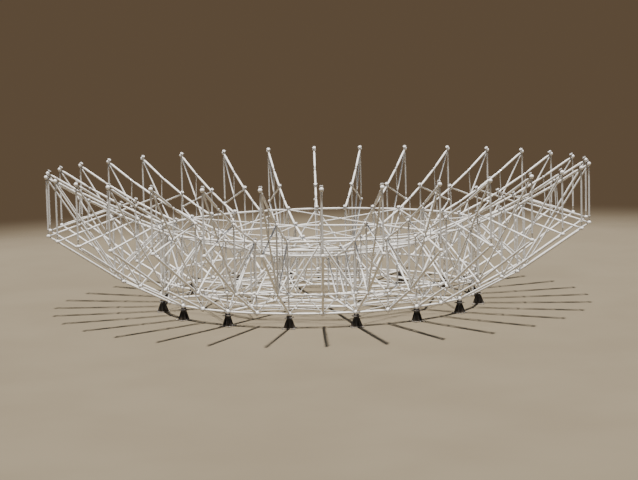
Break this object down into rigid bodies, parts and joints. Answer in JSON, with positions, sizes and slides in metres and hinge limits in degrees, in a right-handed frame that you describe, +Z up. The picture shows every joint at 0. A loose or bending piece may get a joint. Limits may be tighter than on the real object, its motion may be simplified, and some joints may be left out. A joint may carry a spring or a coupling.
{
  "type": "radio telescope dish back frame",
  "caption": "Round open steel space frame that backs a radio telescope dish: 32 flat radial trusses around a ring girder, eight of them running on to a hub ring, on a ring of short dark stubs.",
  "frame": {"origin": "on the ground at the dish axis, the centre of the bottom face of the bounding box", "axes": "+Z up along the dish axis, -Y towards the truss that stands between two support stubs, +X to its right as seen from -Y"},
  "size_m": [39.944, 39.944, 10.4767],
  "materials": {
    "white_paint": "satin",
    "dark_steel": "matt"
  },
  "bodies": {
    "root": {"radial_truss_01": "white_paint", "radial_truss_02": "white_paint", "radial_truss_03": "white_paint", "radial_truss_04": "white_paint", "radial_truss_05": "white_paint", "radial_truss_06": "white_paint", "radial_truss_07": "white_paint", "radial_truss_08": "white_paint", "radial_truss_09": "white_paint", "radial_truss_10": "white_paint", "radial_truss_11": "white_paint", "radial_truss_12": "white_paint", "radial_truss_13": "white_paint", "radial_truss_14": "white_paint", "radial_truss_15": "white_paint", "radial_truss_16": "white_paint", "radial_truss_17": "white_paint", "radial_truss_18": "white_paint", "radial_truss_19": "white_paint", "radial_truss_20": "white_paint", "radial_truss_21": "white_paint", "radial_truss_22": "white_paint", "radial_truss_23": "white_paint", "radial_truss_24": "white_paint", "radial_truss_25": "white_paint", "radial_truss_26": "white_paint", "radial_truss_27": "white_paint", "radial_truss_28": "white_paint", "radial_truss_29": "white_paint", "radial_truss_30": "white_paint", "radial_truss_31": "white_paint", "radial_truss_32": "white_paint", "ring_girder_front": "white_paint", "ring_girder_right": "white_paint", "ring_girder_back": "white_paint", "ring_girder_left": "white_paint", "upper_hoop_middle": "white_paint", "upper_hoop_inner": "white_paint", "lower_hoop_middle": "white_paint", "lower_hoop_inner": "white_paint", "hub_ring": "white_paint", "support_01": "dark_steel", "support_02": "dark_steel", "support_03": "dark_steel", "support_04": "dark_steel", "support_05": "dark_steel", "support_06": "dark_steel", "support_07": "dark_steel", "support_08": "dark_steel", "support_09": "dark_steel", "support_10": "dark_steel", "support_11": "dark_steel", "support_12": "dark_steel", "support_13": "dark_steel", "support_14": "dark_steel", "support_15": "dark_steel", "support_16": "dark_steel"}
  },
  "joints": []
}
